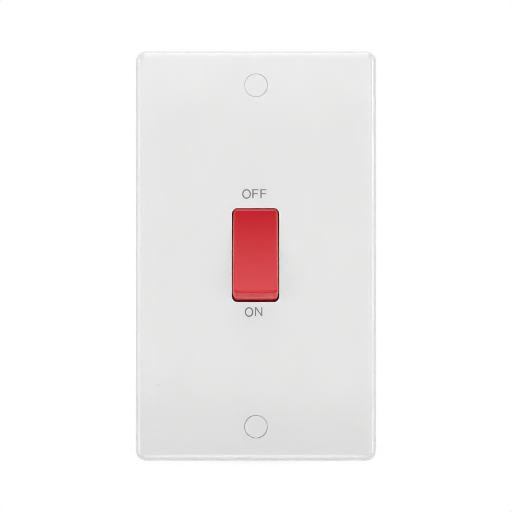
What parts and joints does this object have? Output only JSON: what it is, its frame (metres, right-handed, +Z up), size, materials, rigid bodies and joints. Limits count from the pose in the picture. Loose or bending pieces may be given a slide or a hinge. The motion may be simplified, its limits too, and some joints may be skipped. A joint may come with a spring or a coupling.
{
  "type": "cooker switch",
  "caption": "Tall white wall plate with a wide red rocker that switches both poles of a cooker circuit, covered fixing screws, and a terminal housing behind.",
  "frame": {"origin": "centre of the plate's rear rim, on the wall plane", "axes": "+X to the right and +Z up as seen from the room, +Y into the wall"},
  "size_m": [0.0856, 0.0367, 0.1458],
  "materials": {
    "white_plastic": "gloss",
    "red_plastic": "gloss",
    "black_moulding": "satin",
    "brass": "machined",
    "copper_arm": "rolled strip",
    "silver_contact": "satin",
    "zinc_screw": "zinc plated",
    "spring_steel": "drawn wire",
    "natural_nylon": "satin"
  },
  "bodies": {
    "base": {"front_plate": "white_plastic", "upper_screw_cap": "white_plastic", "lower_screw_cap": "white_plastic", "fixing_screws": "zinc_screw", "bearing_cover": "black_moulding", "switch_housing": "black_moulding", "assembly_screws": "zinc_screw", "live_supply_terminal": "brass", "neutral_supply_terminal": "brass", "live_load_terminal": "brass", "neutral_load_terminal": "brass", "terminal_screws": "zinc_screw", "fixed_contact_tips": "silver_contact", "earth_terminal": "brass", "earth_screws": "zinc_screw"},
    "rocker": {"rocker": "red_plastic", "live_spring": "spring_steel", "neutral_spring": "spring_steel"},
    "live_plunger": {"live_plunger": "natural_nylon"},
    "neutral_plunger": {"neutral_plunger": "natural_nylon"},
    "live_arm": {"live_contact_arm": "copper_arm", "live_moving_tip": "silver_contact"},
    "neutral_arm": {"neutral_contact_arm": "copper_arm", "neutral_moving_tip": "silver_contact"}
  },
  "joints": [
    {"name": "rocker_tilt", "type": "hinge", "parent": "base", "child": "rocker", "pos_m": [-0.00016, -0.00297, 0.0003], "axis": [1, 0, 0], "range_deg": [0, 21]},
    {"name": "live_plunger_slide", "type": "slide", "parent": "rocker", "child": "live_plunger", "axis": [0, -0.9833, 0.1822], "range_m": [0, 0.001], "stiffness_N_per_m": 1500, "springref_m": -0.001, "deforming": ["live_spring"]},
    {"name": "neutral_plunger_slide", "type": "slide", "parent": "rocker", "child": "neutral_plunger", "axis": [0, -0.9833, 0.1822], "range_m": [0, 0.001], "stiffness_N_per_m": 1500, "springref_m": -0.001, "deforming": ["neutral_spring"]},
    {"name": "live_arm_tilt", "type": "hinge", "parent": "base", "child": "live_arm", "pos_m": [-0.00016, 0.00903, 0.0003], "axis": [1, 0, 0], "range_deg": [-21, 0]},
    {"name": "neutral_arm_tilt", "type": "hinge", "parent": "base", "child": "neutral_arm", "pos_m": [-0.00016, 0.00903, 0.0003], "axis": [1, 0, 0], "range_deg": [-21, 0]}
  ],
  "couplings": [
    {"joint": "live_arm_tilt", "follows": "rocker_tilt", "ratio": -1},
    {"joint": "neutral_arm_tilt", "follows": "rocker_tilt", "ratio": -1}
  ]
}
